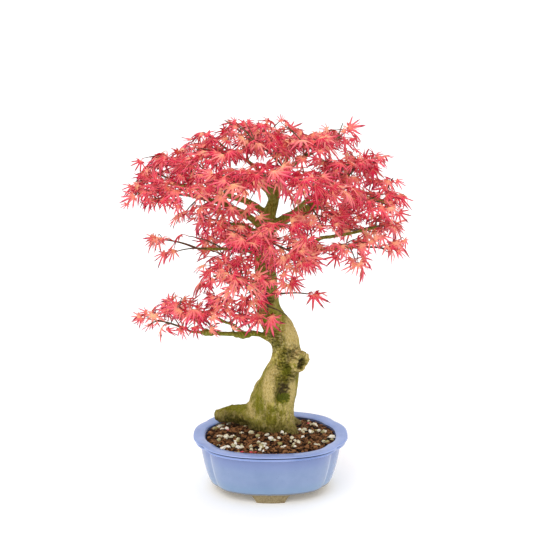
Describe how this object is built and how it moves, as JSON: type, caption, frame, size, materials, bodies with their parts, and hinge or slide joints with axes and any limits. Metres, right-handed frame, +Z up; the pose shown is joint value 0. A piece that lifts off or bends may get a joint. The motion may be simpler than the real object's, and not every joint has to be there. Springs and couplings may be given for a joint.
{
  "type": "beni chidori japanese maple bonsai",
  "caption": "Red-leaved Japanese maple trained as an informal upright bonsai, with surface roots and leafy sprays, standing in gritty soil in a pale blue glazed oval pot on clay feet.",
  "frame": {"origin": "on the table under the middle of the whole plant's box", "axes": "+Z up, -Y is the tree's front as pictured, +X to its right"},
  "size_m": [0.39, 0.3224, 0.5053],
  "materials": {
    "glaze": "glossy periwinkle blue glaze, bare tan clay on the feet",
    "mesh": "black plastic net",
    "soil": "dark brown bark and baked clay grains with pale pumice",
    "bark": "smooth olive and beige bark with fine lengthwise stripes and green moss",
    "leaf": "coral red leaves with crimson tips and paler orange middles, thin and slightly glossy"
  },
  "bodies": {
    "root": {"pot": "glaze", "drain_mesh_left": "mesh", "drain_mesh_right": "mesh", "soil": "soil", "trunk": "bark", "spray_left_edge": "leaf", "spray_left_edge_front": "leaf", "spray_left_edge_back": "leaf", "spray_left_shoulder": "leaf", "spray_left_shoulder_front": "leaf", "spray_left_shoulder_mid": "leaf", "spray_top_left_front": "leaf", "spray_top_left_tip": "leaf", "spray_top_left_back": "leaf", "spray_top_left_mid": "leaf", "spray_top_front": "leaf", "spray_top_tip": "leaf", "spray_top_back": "leaf", "spray_top_right_front": "leaf", "spray_top_right_back": "leaf", "spray_top_right_tip": "leaf", "spray_right_shoulder_front": "leaf", "spray_right_shoulder": "leaf", "spray_right_shoulder_back": "leaf", "spray_right_edge": "leaf", "spray_right_edge_front": "leaf", "spray_right_edge_back": "leaf", "spray_front_left_high": "leaf", "spray_front_centre_high": "leaf", "spray_front_right_high": "leaf", "spray_front_right_edge": "leaf", "spray_front_right_low": "leaf", "spray_front_centre": "leaf", "spray_front_centre_low": "leaf", "spray_front_left": "leaf", "spray_right_mid_tip": "leaf", "spray_right_low_tip": "leaf", "spray_right_low_front": "leaf", "spray_right_low_back": "leaf", "spray_left_thin_tip": "leaf", "spray_left_mid_tip": "leaf", "spray_left_mid_back": "leaf", "spray_left_long_tip": "leaf", "spray_front_low_tip": "leaf", "spray_low_left_tip": "leaf", "spray_low_left_top": "leaf", "spray_low_left_front": "leaf", "spray_low_left_near": "leaf", "spray_low_front_twig": "leaf", "spray_low_right_twig": "leaf", "spray_back_left_high": "leaf", "spray_back_right_high": "leaf", "spray_back_low_tip": "leaf", "spray_back_left_low": "leaf", "spray_back_right_low": "leaf", "spray_right_crown_mid": "leaf", "spray_top_right_mid": "leaf", "spray_low_left_trunk": "leaf", "spray_centre_low_right": "leaf"}
  },
  "joints": []
}
